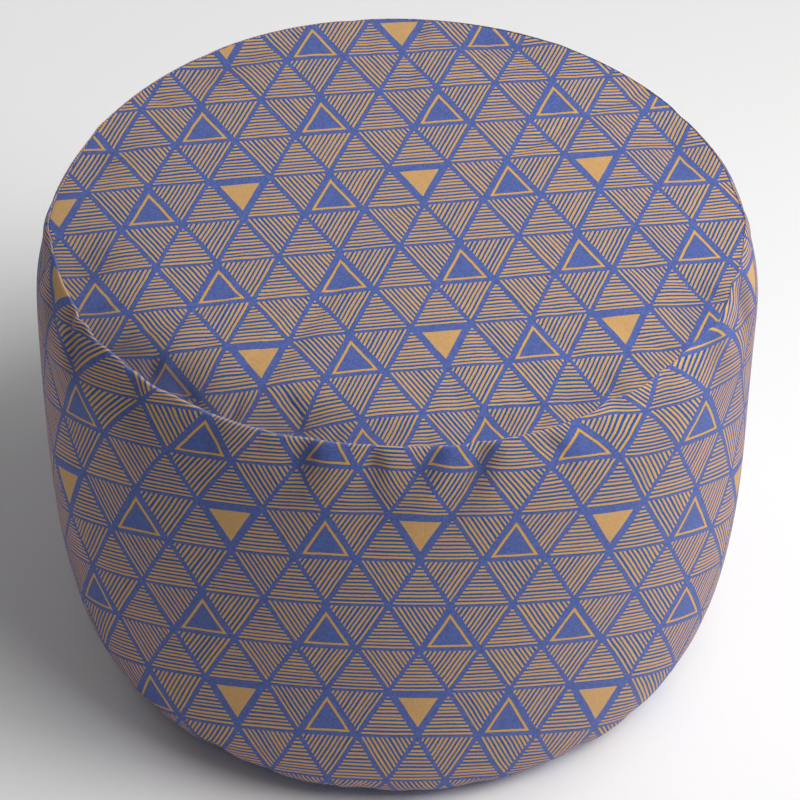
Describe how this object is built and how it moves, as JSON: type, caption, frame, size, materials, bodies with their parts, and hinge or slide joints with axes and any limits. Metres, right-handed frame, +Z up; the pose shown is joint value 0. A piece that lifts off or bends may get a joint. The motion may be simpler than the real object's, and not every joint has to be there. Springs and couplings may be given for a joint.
{
  "type": "upholstered pouf",
  "caption": "Round upholstered pouf: a firm filled drum of printed cloth with a sewn-in top panel, a bulging side band and a flat base.",
  "frame": {"origin": "centre of the flat base, on the surface that the pouf stands on", "axes": "+Z up along the pouf's axis, -Y towards the front"},
  "size_m": [0.5, 0.5, 0.353],
  "materials": {
    "printed_cloth": "matt woven cloth, blue with a tan print",
    "plain_cloth": "matt woven cloth, plain blue"
  },
  "bodies": {
    "root": {"side_panel": "printed_cloth", "top_panel": "printed_cloth", "base_panel": "plain_cloth"}
  },
  "joints": []
}
